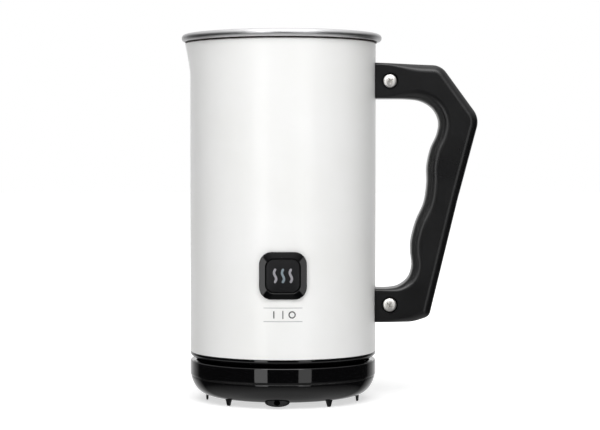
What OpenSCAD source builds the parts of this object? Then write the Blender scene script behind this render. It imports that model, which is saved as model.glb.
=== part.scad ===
// Milk frother: a heated jug with a magnetic whisk, standing on its cordless power base.
// Millimetres. +Z is up, the origin is the point of the worktop under the jug's axis.
// The button faces -Y, the handle is at +X and the pouring lip at -X.

/* [Jug shell] */
// Outer radius of the painted shell
shell_r = 50.5; // [48:0.5:52]
// Sheet thickness of the shell
shell_t = 0.8; // [0.6:0.1:1.0]
// Height of the shell's lower edge above the worktop
shell_bottom = 26.6; // [26.6:0.1:27.4]
// Height of the shell's upper edge
shell_top = 194; // [190:0.5:196]

/* [Rim and pouring lip] */
// How far the rolled bead of the rim stands out past the shell
rim_overhang = 3.2; // [3:0.1:4.5]
// Radius of the rolled bead
bead_r = 2; // [1.8:0.1:2.2]
// How far the shell bulges out under the pouring lip
lip_out_shell = 2.8; // [1:0.1:3]
// How far the rim bulges out at the pouring lip
lip_out_rim = 1.4; // [0.5:0.1:1.6]
// Height of the bulge in the shell
lip_drop = 17; // [12:1:24]
// Half of the angle that the bulge covers at the top
lip_half_angle = 46; // [30:1:60]

/* [Inner pot] */
// Inner radius of the pot
pot_r = 45.2; // [45.2:0.1:45.6]
// Height of the pot's inner floor
pot_floor = 98; // [98:0.5:104]

/* [Handle] */
// Thickness of the handle from side to side
handle_thick = 19; // [18:0.5:22]
// Radius of the rounded edges of the grip
grip_edge = 4.4; // [3:0.1:4.6]
// Distance of the handle screws from the jug's axis
screw_x = 57.9; // [57:0.1:60]
// Heights of the upper and the lower handle screw
screw_heights = [173.4, 52]; // [40:0.1:180]

/* [Button] */
// Height of the button's centre
button_z = 70.6; // [66:0.1:76]
// Width of the square bezel
bezel_w = 24.8; // [24:0.1:26]
// Width of the square button cap
cap_w = 17.7; // [17:0.1:17.8]

/* [Power base] */
// Height of the base's upper edge
base_top = 22.2; // [21:0.1:22.4]
// Height of the seam between the base's two mouldings
base_seam = 13.5; // [13:0.1:13.8]
// Height of the base's underside above the worktop
base_under = 2.9; // [2.5:0.1:3.2]
// Radius of the circle that the feet stand on
feet_r = 41.5; // [38:0.5:42]
// Places on that circle: the cord gland takes one and feet the others
feet_places = 9; // [7:1:11]
// Turn of the base under the jug, in degrees
base_turn = -4; // [-180:1:180]

/* [Hidden] */
$fn = 96;
nudge = 0.01;
ring_steps = 96;

// Levels inside the base and the jug's foot
dish_floor = 16;
dish_t = 1.8;
foot_under = dish_floor + 0.3;
foot_floor_t = 2;
plug_r = 8.8;
plug_top = 27;
socket_top = 30.5;
board_z = 36;
motor_bottom = 58;
motor_top = 86;
pot_t = 0.8;
pot_under = pot_floor - pot_t;
rim_z = shell_top + 0.7;
rim_top = rim_z + 2 * bead_r;
pot_wall_top = 190;
front_y = -shell_r;
handle_y = handle_thick / 2;
base_screw_r = 30;
foot_post_r = 41.4;
stud_r = 22;

// ---- Points and curves ----

function unit(v) = v / norm(v);

function arc(centre, r, from, to, steps) =
    [for (i = [0:steps]) let (a = from + (to - from) * i / steps) centre + r * [cos(a), sin(a)]];

function rounded_square(w, r, steps = 6) = let (c = w / 2 - r)
    concat(arc([c, c], r, 0, 90, steps), arc([-c, c], r, 90, 180, steps),
           arc([-c, -c], r, 180, 270, steps), arc([c, -c], r, 270, 360, steps));

// An arc of radius r that rounds the corner v between the points before and after it
function fillet(before, v, after, r, steps) =
    let (a = unit(before - v), b = unit(after - v), half = acos(a * b) / 2,
         centre = v + unit(a + b) * r / sin(half), s = v + a * r / tan(half) - centre,
         e = v + b * r / tan(half) - centre, from = atan2(s[1], s[0]), turn = atan2(e[1], e[0]) - from,
         short = turn > 180 ? turn - 360 : turn < -180 ? turn + 360 : turn)
    arc(centre, r, from, from + short, steps);

// A smooth curve through the points, with the ends left straight
function curve_point(p0, p1, p2, p3, t) =
    0.5 * (2 * p1 + (p2 - p0) * t + (2 * p0 - 5 * p1 + 4 * p2 - p3) * t * t
           + (3 * p1 - p0 - 3 * p2 + p3) * t * t * t);
function curve(p, steps) = [
    for (i = [0:len(p) - 2]) for (j = [0:steps - 1])
        curve_point(p[max(i - 1, 0)], p[i], p[i + 1], p[min(i + 2, len(p) - 1)], j / steps),
    p[len(p) - 1]
];

// ---- Shapes that repeat ----

// A rounded square prism whose front face is at y = front and which runs back by depth
module square_prism(w, r, front, depth) {
    translate([0, front + depth, button_z])
        rotate([90, 0, 0])
            linear_extrude(depth) polygon(rounded_square(w, r));
}

// A cylinder along Z
module column(r, from, to) {
    translate([0, 0, from]) cylinder(r = r, h = to - from);
}

// A cylinder along Y, at a place in X and Z
module crossways(x, z, r, from, to) {
    translate([x, from, z]) rotate([-90, 0, 0]) cylinder(r = r, h = to - from);
}

module tube(r, inner, from, to) {
    difference() {
        column(r, from, to);
        column(inner, from - 1, to + 1);
    }
}

// Children repeated at n angles, at radius r
module around(n, r, start = 0) {
    for (i = [0:n - 1]) rotate([0, 0, start + 360 * i / n]) translate([r, 0, 0]) children();
}

// The pouring lip faces -X: its outward bulge at an angle about the axis, as a share of its full size
function lip(angle) = let (off = abs(angle - 180), share = off / lip_half_angle)
    share < 1 ? pow(0.5 + 0.5 * cos(180 * share), 1.3) : 0;

// A closed ring whose section, a list of [r, z], moves out by bulge times each point's own share
module swept_ring(section, shares, bulge) {
    n = len(section);
    points = [for (i = [0:ring_steps - 1]) let (a = 360 * i / ring_steps) for (j = [0:n - 1])
        let (r = section[j][0] + bulge * shares[j] * lip(a)) [r * cos(a), r * sin(a), section[j][1]]];
    faces = [for (i = [0:ring_steps - 1]) let (k = (i + 1) % ring_steps) for (j = [0:n - 1])
        let (m = (j + 1) % n) [i * n + j, i * n + m, k * n + m, k * n + j]];
    polyhedron(points, faces);
}

// ---- Power base ----

// The bowl-shaped side of the base: a rounded corner from the upright side to the flat underside
bowl_a = 12;
bowl_b = 15;
bowl_power = 2 / 2.2;
function bowl(t, inset = 0) = [
    shell_r - bowl_a + (bowl_a - inset) * pow(cos(t), bowl_power),
    base_under + bowl_b - (bowl_b - inset) * pow(sin(t), bowl_power)
];
seam_angle = asin(pow((base_under + bowl_b - base_seam) / bowl_b, 1 / bowl_power));
seam_angle_in = asin(pow((base_under + bowl_b - base_seam) / (bowl_b - 2), 1 / bowl_power));

module foot_tab() {
    // a thin tapered tab, wide along the circle and rounded at its tip
    rotate([90, 0, 90])
        translate([0, 0, -0.6])
            linear_extrude(1.2)
                polygon(concat([[2.6, 5.5], [-2.6, 5.5]], arc([0, 1.2], 1.25, 200, 262, 4),
                               [[-0.17, 0], [0.17, 0]], arc([0, 1.2], 1.25, 278, 340, 4)));
}

module base_bottom() color("#17171a") {
    rotate([0, 0, base_turn - 90]) difference() {
        union() {
            rotate_extrude() polygon(concat(
                [for (i = [0:14]) bowl(seam_angle + (90 - seam_angle) * i / 14)],
                [[3.2, base_under], [3.2, base_under + 2]],
                [for (i = [14:-1:0]) bowl(seam_angle_in + (90 - seam_angle_in) * i / 14, 2)]
            ));
            around(3, base_screw_r, 60) column(3.6, base_under + 1, 9);
            for (i = [1:feet_places - 1])
                rotate([0, 0, 360 * i / feet_places]) translate([feet_r, 0, 0]) foot_tab();
        }
        around(3, base_screw_r, 60) {
            column(1.8, 0, 10);
            column(3.3, 0, 5.2);
        }
        // seat of the cord gland, open to the front
        translate([34, 0, gland_z]) gland_shape(14, 0);
    }
}

gland_w = 13.4;
gland_z = 3.5;
gland_hole = 1.6;

// The gland is an oval, flatter above than below, lying along the radius
module gland_shape(length, grow) {
    rotate([90, 0, 90]) linear_extrude(length)
        polygon([for (i = [0:35]) let (a = 10 * i)
            [(gland_w / 2 + grow) * cos(a), (a < 180 ? 2.3 + grow : 2.4 + grow) * sin(a)]]);
}

module cord_gland() color("#202022") {
    rotate([0, 0, base_turn - 90]) translate([0, 0, gland_z]) difference() {
        translate([34, 0, 0]) gland_shape(12.4, -0.05);
        translate([33, 0, 0]) rotate([0, 90, 0]) cylinder(r = gland_hole, h = 14);
    }
}

module base_top_cover() color("#0c0c0e") {
    rotate([0, 0, base_turn - 90]) difference() {
        union() {
            rotate_extrude() polygon(concat(
                arc([shell_r - 0.8, base_top - 0.8], 0.8, 0, 90, 4),
                [[47.8, base_top], [47.2, base_top - 0.6], [47.2, dish_floor], [plug_r + 0.2, dish_floor],
                 [plug_r + 0.2, dish_floor - dish_t], [46.6, dish_floor - dish_t], [46.8, base_seam]],
                [for (i = [0:4]) bowl(seam_angle * (1 - i / 4))]
            ));
            around(3, base_screw_r, 60) column(3.6, 9, dish_floor - 1);
        }
        around(3, base_screw_r, 60) column(1.4, 8, 14.5);
    }
}

module base_pad() color("#2a2a2c") {
    column(9, 0, base_under);
    column(3.1, base_under - nudge, base_under + 2.6);
}

module base_screws() color("#b8b8bc") {
    rotate([0, 0, base_turn - 90]) around(3, base_screw_r, 60) difference() {
        union() {
            column(2.9, 3.6, 5.2);
            column(1.4, 5.2 - nudge, 14);
        }
        cross_recess(3.6, 1.1);
    }
}

// A cross recess in a screw head whose outer face is at z = face, cut upwards
module cross_recess(face, deep) {
    for (a = [0, 90]) rotate([0, 0, a]) translate([-1.6, -0.35, face - nudge]) cube([3.2, 0.7, deep]);
}

module plug_body() color("#1c1c1e") {
    difference() {
        union() {
            column(13, 10.2, dish_floor - dish_t);
            column(plug_r, dish_floor - dish_t - nudge, plug_top);
        }
        tube(7, 4.8, 19, plug_top + 1);
        column(1.9, 12, plug_top + 1);
        tube(plug_r + 1, plug_r - 0.4, 18, 20);
    }
}

module plug_contacts() color("#c9a24a") {
    tube(1.9, 1.5, 12, plug_top - 1);
    tube(5.1, 4.8, 19, plug_top - 2);
    tube(plug_r, plug_r - 0.4, 18, 20);
}

// ---- Foot of the jug and its socket ----

module jug_foot() color("#121214") {
    difference() {
        union() {
            rotate_extrude() polygon([
                [shell_r, shell_bottom], [shell_r, shell_bottom - 1.2], [shell_r - 0.9, shell_bottom - 2.3],
                [shell_r - 2.6, shell_bottom - 2.4], [46, base_top - 0.6], [46, foot_under + 1],
                [45, foot_under], [16.2, foot_under], [16.2, foot_under + foot_floor_t],
                [44, foot_under + foot_floor_t], [44, base_top], [47.2, shell_bottom], [47.2, 33],
                [shell_r - shell_t - 0.1, 33], [shell_r - shell_t - 0.1, shell_bottom]
            ]);
            around(3, foot_post_r, 90) column(3.6, foot_under + 1, 34);
            around(3, 30, 30) column(3, foot_under + 1, board_z);
        }
        around(3, foot_post_r, 90) {
            column(1.8, 0, 40);
            column(3.1, 0, 28);
        }
        around(3, 30, 30) column(1.3, board_z - 10, board_z + 1);
    }
}

module foot_screws() color("#b8b8bc") {
    around(3, foot_post_r, 90) difference() {
        union() {
            column(2.9, 26.2, 28);
            column(1.4, 28 - nudge, 37.5);
        }
        cross_recess(26.2, 1.1);
    }
}

// Three steel tabs welded inside the shell, which the foot's screws bite into
module foot_tabs() color("#a8a8ac") {
    difference() {
        intersection() {
            tube(shell_r - shell_t - 0.05, 38.4, 34, 35.5);
            around(3, 44, 90) cube([12, 10, 100], center = true);
        }
        around(3, foot_post_r, 90) column(1.5, 30, 40);
    }
}

module socket_body() color("#1c1c1e") {
    difference() {
        column(16, foot_under, socket_top);
        column(plug_r + 0.6, foot_under - 1, 28);
        column(1.2, 27, socket_top + 1);
        tube(6.3, 5.6, 27, socket_top - 0.8);
    }
}

module socket_contacts() color("#c9a24a") {
    column(1.2, 19, socket_top + 2.5);
    tube(6.3, 5.6, 21, socket_top - 0.8);
}

// ---- Shell, rim and pot ----

lip_bottom = shell_top - lip_drop;

module outer_shell() color("#f4f4f2") {
    rows = 7;
    rise = [for (i = [0:rows]) i / rows];
    fall = [for (i = [rows:-1:0]) i / rows];
    section = concat([[shell_r, shell_bottom]], [for (t = rise) [shell_r, lip_bottom + lip_drop * t]],
                     [for (t = fall) [shell_r - shell_t, lip_bottom + lip_drop * t]],
                     [[shell_r - shell_t, shell_bottom]]);
    shares = concat([0], [for (t = rise) pow(t, 1.25)], [for (t = fall) pow(t, 1.25)], [0]);
    difference() {
        swept_ring(section, shares, lip_out_shell);
        square_prism(21.4, 5, front_y - 2, 8);
        for (z = screw_heights) translate([shell_r - 4, -1.7, z - 7.2]) cube([6, 3.4, 14.4]);
    }
}

module rim_gasket() color("#3a2a26") {
    swept_ring([[shell_r + 0.5, shell_top], [shell_r + 0.5, rim_z], [shell_r - 2, rim_z], [shell_r - 2, shell_top]],
               [1, 1, 1, 1], lip_out_shell - 0.6);
}

bead_centre = [shell_r + rim_overhang - bead_r, rim_z + bead_r];
flare_reach = bead_centre[0] - bead_r * 0.6 - pot_r;
flare_rise = rim_top - 0.5 - pot_wall_top;
function flare(t, inset = 0) = [
    pot_r + inset + flare_reach * (1 - cos(t)),
    pot_wall_top + (flare_rise - inset) * sin(t)
];

// The pot's wall turns outwards in a flare and ends in the rolled bead
module rim_ring() color("#c6c8ca") {
    inside = [for (i = [0:7]) flare(78 * i / 7)];
    bead = arc(bead_centre, bead_r, 105, -165, 16);
    under = [for (i = [7:-1:0]) flare(78 * i / 7, 0.8)];
    section = concat(inside, bead, under);
    share = [for (p = section) max(0, min(1, (p[0] - pot_r) / (bead_centre[0] - bead_r - pot_r)))];
    swept_ring([for (i = [len(section) - 1:-1:0]) section[i]], [for (i = [len(share) - 1:-1:0]) share[i]],
               lip_out_rim);
}

pot_corner = 9;
module inner_pot() color("#5a5b5e") {
    rotate_extrude() polygon(concat(
        [[0, pot_floor], [0, pot_under]],
        arc([pot_r + pot_t - pot_corner, pot_under + pot_corner], pot_corner, -90, 0, 8),
        [[pot_r + pot_t, pot_wall_top], [pot_r, pot_wall_top]],
        arc([pot_r - pot_corner + pot_t, pot_floor + pot_corner - pot_t], pot_corner - pot_t, 0, -90, 8)
    ));
}

module pot_pivot() color("#c9cbcd") {
    column(5, pot_floor, pot_floor + 1);
    column(1.5, pot_floor + 1 - nudge, pot_floor + 9.4);
}

module pot_studs() color("#c9cbcd") {
    around(3, stud_r, 90) column(1.5, motor_top - 4.6, pot_under);
}

// ---- Heater ----

plate_under = pot_under - 3.4;
element_tube = 3;

module heater_plate() color("#b9bbbd") {
    difference() {
        tube(37, 16, plate_under, pot_under);
        around(3, stud_r, 90) column(1.7, plate_under - 1, pot_under + 1);
    }
}

module heater_element() color("#8e8f92") {
    difference() {
        rotate_extrude() translate([32, plate_under - element_tube]) circle(element_tube, $fn = 24);
        translate([32, 0, plate_under - element_tube]) cube([10, 7, 8], center = true);
    }
    for (side = [-1, 1]) rotate([0, 0, side * 8.6]) translate([32, 0, 0]) column(1.4, plate_under - 14, plate_under - 5.9);
}

thermostat_turns = [30, 150]; // between the studs
thermostat_place = 22.6;      // radius from the jug's axis

module thermostats() color("#3c3c40") {
    for (turn = thermostat_turns) rotate([0, 0, turn]) translate([thermostat_place, 0, 0]) {
        column(5.2, plate_under - 4.8, plate_under);
        for (side = [-1, 1]) translate([side * 2.6 - 0.4, -1.5, plate_under - 5.8]) cube([0.8, 3, 1 + nudge]);
    }
}

// ---- Motor and magnetic drive ----

module spacers() color("#d0d0d2") {
    around(3, stud_r, 90) tube(3.2, 1.65, motor_top + 1.5, plate_under);
}

module motor_bracket() color("#a8aaad") {
    difference() {
        column(27, motor_top, motor_top + 1.5);
        column(4.2, motor_top - 1, motor_top + 3);
        around(3, stud_r, 90) column(1.7, motor_top - 1, motor_top + 3);
        around(3, 19, 30) column(3.4, motor_top - 1, motor_top + 3);
    }
}

module bracket_nuts() color("#b8b8bc") {
    around(3, stud_r, 90) difference() {
        translate([0, 0, motor_top - 3.2]) cylinder(r = 3.2, h = 3.2, $fn = 6);
        column(1.55, motor_top - 4, motor_top + 1);
    }
}

module motor_body() color("#9fa1a4") {
    difference() {
        union() {
            column(13.8, motor_bottom, motor_top);
            column(4, motor_top - nudge, motor_top + 2);
            column(5, motor_bottom - 2, motor_bottom + nudge);
        }
        column(1.25, motor_bottom + 4, motor_top + 3);
    }
    for (side = [-1, 1]) translate([side * 9, 0, motor_bottom - 4]) cube([0.6, 3, 8 + nudge], center = true);
}

carrier_top = pot_under - 1;
carrier_under = carrier_top - 5.8;

module motor_shaft() color("#d4d6d8") {
    column(1.2, motor_bottom + 5, carrier_top - 1);
}

module magnet_carrier() color("#e8e4da") {
    difference() {
        union() {
            column(13, carrier_under, carrier_top);
            column(3.6, carrier_under - 1.6, carrier_under + nudge);
        }
        column(1.2, carrier_under - 3, carrier_top - 1);
        around(2, 7.6) column(4, carrier_top - 4, carrier_top + 1);
    }
}

module drive_magnets() color("#6f7276") {
    around(2, 7.6) column(4, carrier_top - 4, carrier_top);
}

// ---- Electronics ----

module main_board() color("#1f6b3a") {
    difference() {
        column(36, board_z, board_z + 1.6);
        around(3, 30, 30) column(1.6, board_z - 1, board_z + 3);
    }
}

module board_parts() color("#d9d5c6") {
    top = board_z + 1.6;
    translate([-26, -9, top]) cube([15, 18, 14]);
    translate([-6, 12, top]) cube([20, 16, 13]);
    translate([10, -8, top]) cube([8, 16, 9]);
    translate([-4, -20, 0]) column(5, top, top + 12);
    translate([8, -22, 0]) column(4, top, top + 10);
    around(3, 30, 30) column(2.6, top, top + 1.8);
}

// ---- Button and its board ----

bezel_front = front_y - 1.8;
sleeve_back = front_y + 11;
cap_front = front_y - 1;
board_y = sleeve_back;

module button_bezel() color("#0e0e10") {
    difference() {
        union() {
            difference() {
                square_prism(bezel_w, 6.5, bezel_front, 6);
                column(shell_r + 0.05, button_z - 20, button_z + 20);
            }
            square_prism(21, 4.8, bezel_front + 1, sleeve_back - bezel_front - 1);
        }
        square_prism(18.1, 4.5, bezel_front - 1, sleeve_back - bezel_front + 2);
    }
    for (x = [-9.4, 9.4]) for (z = [-13, 13])
        difference() {
            translate([x - 2, sleeve_back - 5, button_z + z - 3]) cube([4, 5, 6]);
            crossways(x, button_z + z, 0.9, sleeve_back - 4, sleeve_back + 1);
        }
}

module button_board() color("#1f6b3a") {
    difference() {
        translate([-12, board_y, button_z - 16]) cube([24, 1.6, 32]);
        for (x = [-9.4, 9.4]) for (z = [-13, 13]) crossways(x, button_z + z, 1.1, board_y - 1, board_y + 3);
    }
}

module board_screws() color("#b8b8bc") {
    for (x = [-9.4, 9.4]) for (z = [-13, 13]) {
        crossways(x, button_z + z, 0.85, board_y - 3, board_y + 1.6 + nudge);
        crossways(x, button_z + z, 1.8, board_y + 1.6, board_y + 2.8);
    }
}

module switch_body() color("#2c2c30") {
    difference() {
        translate([-3, board_y - 3.6, button_z - 3]) cube([6, 3.6, 6]);
        crossways(0, button_z, 1.75, board_y - 4, board_y - 1);
    }
}

module indicator_lamps() color("#f2f2ea") {
    for (i = [-1:1]) translate([i * 4.4 - 1, board_y - 1.2, button_z + 4.4]) cube([2, 1.2, 2]);
}

module switch_plunger() color("#d8d8d8") {
    crossways(0, button_z, 1.7, board_y - 5, board_y - 2.2);
}

// One wavy heat mark, 7.8 high and 1.5 wide, with round ends, centred on the origin
mark_h = 6.3;
mark_w = 1.25;
mark_swing = 0.55; // how far a wave swings to each side
mark_pitch = 4.1;
function mark_line(t) = [mark_swing * sin(360 * t), mark_h * (t - 0.5)];
function mark_side(t) = let (d = unit(mark_line(t + 0.01) - mark_line(t - 0.01))) mark_w / 2 * [d[1], -d[0]];
function mark_outline(steps) = let (down = mark_side(0), up = mark_side(1),
                                    low = atan2(down[1], down[0]), high = atan2(up[1], up[0])) concat(
    [for (i = [1:steps - 1]) mark_line(i / steps) + mark_side(i / steps)],
    arc(mark_line(1), mark_w / 2, high, high + 180, 6),
    [for (i = [steps - 1:-1:1]) mark_line(i / steps) - mark_side(i / steps)],
    arc(mark_line(0), mark_w / 2, low + 180, low + 360, 6)
);

module marks(front, depth) {
    for (i = [-1:1]) translate([i * mark_pitch, front + depth, button_z]) rotate([90, 0, 0])
        linear_extrude(depth) polygon(mark_outline(14));
}

module button_cap() color("#1b1b1d") {
    difference() {
        union() {
            square_prism(cap_w, 4.3, cap_front, 5);
            crossways(0, button_z, 2.2, cap_front + 4, board_y - 5);
        }
        difference() {
            square_prism(cap_w - 3, 3, cap_front + 1.4, 4);
            crossways(0, button_z, 2.2, cap_front + 1, board_y);
        }
        marks(cap_front - 1, 2);
    }
}

module button_marks() color("#b9bcc0") {
    marks(cap_front, 1);
}

// ---- Handle ----

handle_end = 46;
// The outer outline's corners, as [x, z, radius]
handle_corners = [
    [handle_end, 183.5, 0], [85.8, 181.9, 9.5], [106.6, 153.4, 11], [94.9, 109.2, 150],
    [79.6, 45.6, 4.6], [71, 42.7, 22], [handle_end, 42.6, 0]
];
// The inner outline with its two finger waves, from the lower arm to the upper arm
grip_line = [
    [handle_end, 60.9], [57.5, 60.9], [63.4, 62.3], [68.4, 66.6], [70.4, 73], [69.8, 80.5], [70, 87.5],
    [72.6, 97.5], [76.9, 107.5], [78.5, 118], [78.5, 127.5], [80.5, 136.8], [84, 144.8], [84.8, 152],
    [81.6, 158.5], [75.4, 162.5], [67, 163.8], [handle_end, 164]
];
grip_curve = curve(grip_line, 3);
function xz(p) = [p[0], p[1]];
handle_outline = concat(
    [xz(handle_corners[0])],
    [for (i = [1:len(handle_corners) - 2]) each fillet(xz(handle_corners[i - 1]), xz(handle_corners[i]),
        xz(handle_corners[i + 1]), handle_corners[i][2], 7)],
    [xz(handle_corners[len(handle_corners) - 1])],
    grip_curve
);
// Triangles that fill the flat band between the points a to a_end and the points b down to b_end
function band(p, a, a_end, b, b_end) = a == a_end && b == b_end ? [] :
    b == b_end || (a < a_end && norm(p[a + 1] - p[b]) < norm(p[a] - p[b - 1]))
    ? concat([[a, a + 1, b]], band(p, a + 1, a_end, b, b_end))
    : concat([[a, b - 1, b]], band(p, a, a_end, b - 1, b_end));
// Edge rounding grows from the arms' ends to the grip
function edge_r(x) = let (t = max(0, min(1, (x - 54) / 22))) 1.3 + (grip_edge - 1.3) * t * t * (3 - 2 * t);
function inward(i) = let (n = len(handle_outline), p = handle_outline[(i + n - 1) % n], q = handle_outline[(i + 1) % n],
                          d = unit(q - p)) [d[1], -d[0]];

module handle_solid() {
    n = len(handle_outline);
    steps = 5;
    rings = concat([for (k = [steps:-1:0]) [-1, 90 * k / steps]], [for (k = [0:steps]) [1, 90 * k / steps]]);
    points = [for (ring = rings) for (i = [0:n - 1])
        let (p = handle_outline[i], r = edge_r(p[0]), q = p + inward(i) * r * (1 - cos(ring[1])))
        [q[0], ring[0] * (handle_y - r + r * sin(ring[1])), q[1]]];
    last = (len(rings) - 1) * n;
    side = band(handle_outline, 0, n - len(grip_curve) - 1, n - 1, n - len(grip_curve));
    polyhedron(points, concat(
        [for (k = [0:len(rings) - 2]) for (i = [0:n - 1]) let (j = (i + 1) % n)
            [k * n + i, k * n + j, (k + 1) * n + j, (k + 1) * n + i]],
        [for (t = side) [t[2], t[1], t[0]]], [for (t = side) [last + t[0], last + t[1], last + t[2]]]
    ));
}

head_r = 3.75;
head_t = 2.3;
head_dome = 1.35;
recess = 4.2; // long side of the cross recess
head_seat = -handle_y + 2.7;
nut_seat = handle_y - 3.9;

module handle() color("#1a1a1b") {
    difference() {
        handle_solid();
        column(shell_r + 0.15, 30, 195);
        for (z = screw_heights) {
            crossways(screw_x, z, 2.15, -handle_y - 1, handle_y + 1);
            crossways(screw_x, z, head_r + 0.8, -handle_y - 1, head_seat);
            translate([screw_x, nut_seat, z]) rotate([-90, 0, 0]) cylinder(r = 4.2, h = 6, $fn = 6);
            translate([shell_r - 4, -1.7, z - 7.2]) cube([16.5, 3.4, 14.4]);
        }
    }
}

// A steel tongue with a curved foot inside the shell
module lug(z) {
    difference() {
        union() {
            intersection() {
                tube(shell_r - shell_t - 0.05, shell_r - shell_t - 1.2, z - 9, z + 9);
                translate([shell_r - 8, -8, z - 10]) cube([16, 16, 20]);
            }
            translate([shell_r - shell_t - 1, -1.5, z - 7]) cube([14, 3, 14]);
        }
        crossways(screw_x, z, 2.1, -5, 5);
    }
}

module upper_lug() color("#b0b2b5") lug(screw_heights[0]);
module lower_lug() color("#b0b2b5") lug(screw_heights[1]);

// Pan-head screws across the handle's arms, with their heads towards the front
module handle_screws() color("#d2d3d5") {
    for (z = screw_heights) translate([screw_x, 0, z]) rotate([-90, 0, 0]) {
        difference() {
            translate([0, 0, head_seat - head_t]) rotate_extrude()
                polygon(concat([[0, head_t], [0, 0]], [for (a = [15:15:75]) [head_r * sin(a) * 0.98, head_dome * (1 - cos(a))]],
                               [[head_r, head_dome + 0.1], [head_r, head_t]]));
            for (a = [0, 90]) rotate([0, 0, a + 20]) translate([-recess / 2, -0.45, head_seat - head_t - 0.1]) cube([recess, 0.9, 1.5]);
        }
        translate([0, 0, head_seat - 0.5]) cylinder(r = 2, h = nut_seat + 3.6 - (head_seat - 0.5));
    }
}

module handle_nuts() color("#c2c4c6") {
    for (z = screw_heights) translate([screw_x, nut_seat, z]) rotate([-90, 0, 0]) difference() {
        cylinder(r = 4.04, h = 3.2, $fn = 6);
        translate([0, 0, -1]) cylinder(r = 2.05, h = 6);
    }
}

// ---- Whisk ----

whisk_z = pot_floor + 1.6;
whisk_r = 18;

module whisk_frame() color("#232326") {
    difference() {
        union() {
            column(9, whisk_z, whisk_z + 6.4);
            for (a = [0:90:270]) rotate([0, 0, a]) translate([8, -1.1, whisk_z + 1.4]) cube([7, 2.2, 2]);
            tube(15.3, 14.1, whisk_z + 1.4, whisk_z + 3.4);
        }
        column(1.56, whisk_z - 1, whisk_z + 8);
        around(2, 5.4, 45) column(2.6, whisk_z - 1, whisk_z + 4);
    }
}

module whisk_magnets() color("#6f7276") {
    around(2, 5.4, 45) column(2.6, whisk_z, whisk_z + 4);
}

// A spring bent into a ring: its wire winds round a circle of radius whisk_r
coil_turns = 38;
coil_r = 2.1;
wire_r = 0.45;
coil_steps = 8;
wire_sides = 4;
function coil_point(a) = let (b = a * coil_turns, r = whisk_r + coil_r * cos(b)) [r * cos(a), r * sin(a), coil_r * sin(b)];

module whisk_coil() color("#cfd1d3") {
    n = coil_turns * coil_steps;
    points = [for (i = [0:n - 1]) let (a = 360 * i / n, p = coil_point(a), d = unit(coil_point(a + 0.05) - coil_point(a - 0.05)),
            out = unit(p - whisk_r * [cos(a), sin(a), 0]), side = cross(d, out))
        for (j = [0:wire_sides - 1]) let (w = 360 * j / wire_sides) p + wire_r * (out * cos(w) + side * sin(w))];
    faces = [for (i = [0:n - 1]) let (k = (i + 1) % n) for (j = [0:wire_sides - 1]) let (m = (j + 1) % wire_sides)
        each [[i * wire_sides + j, i * wire_sides + m, k * wire_sides + m],
              [i * wire_sides + j, k * wire_sides + m, k * wire_sides + j]]];
    translate([0, 0, whisk_z + 2.4]) polyhedron(points, faces);
}

// ---- Lid ----

lid_r = 46.6;
lid_flange = rim_top - 2.7;
lid_plate = rim_top - 9;

module lid() color("#dfe6ea", 0.4) {
    rotate_extrude() polygon([
        [3, lid_plate], [43.2, lid_plate], [43.2, lid_flange], [lid_r - 0.3, lid_flange], [lid_r, lid_flange + 0.5],
        [lid_r, lid_flange + 1.2], [lid_r - 0.5, lid_flange + 1.7], [41.6, lid_flange + 1.7],
        [41.4, lid_plate + 2], [3, lid_plate + 2]
    ]);
}

module lid_knob() color("#1b1b1d") {
    rotate_extrude() polygon([
        [0, lid_plate - 1.2], [5.5, lid_plate - 1.2], [5.5, lid_plate], [2.9, lid_plate], [2.9, lid_plate + 2],
        [6, lid_plate + 2], [5.4, lid_plate + 4.5], [8.2, lid_plate + 6.8], [8.2, rim_top - 0.9],
        [7.4, rim_top - 0.2], [0, rim_top - 0.2]
    ]);
}

module lid_seal() color("#c9ccce") {
    rotate_extrude() polygon([
        [43.25, lid_plate + 0.6], [44.6, lid_plate + 0.6], [44.95, lid_plate + 1.2], [44.6, lid_plate + 1.8],
        [44.95, lid_plate + 2.4], [44.6, lid_plate + 3], [43.25, lid_plate + 3]
    ]);
}

base_bottom();
base_top_cover();
base_pad();
base_screws();
cord_gland();
plug_body();
plug_contacts();
jug_foot();
foot_screws();
foot_tabs();
socket_body();
socket_contacts();
outer_shell();
rim_gasket();
rim_ring();
inner_pot();
pot_pivot();
pot_studs();
heater_plate();
heater_element();
thermostats();
spacers();
motor_bracket();
bracket_nuts();
motor_body();
motor_shaft();
magnet_carrier();
drive_magnets();
main_board();
board_parts();
button_bezel();
button_board();
board_screws();
switch_body();
indicator_lamps();
switch_plunger();
button_cap();
button_marks();
handle();
upper_lug();
lower_lug();
handle_screws();
handle_nuts();
whisk_frame();
whisk_coil();
whisk_magnets();
lid();
lid_knob();
lid_seal();
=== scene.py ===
# %% [markdown]
# # A milk frother on its cordless base
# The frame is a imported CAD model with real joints. This notebook dresses it: every piece that can be seen gets a
# finer mesh or a finer finish, in the CAD's own places, and a small studio is put round it.
# Frame: metres, +Z up, the button faces -Y, the handle is at +X, the pouring lip at -X.

# %% Load the frame
import math

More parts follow.
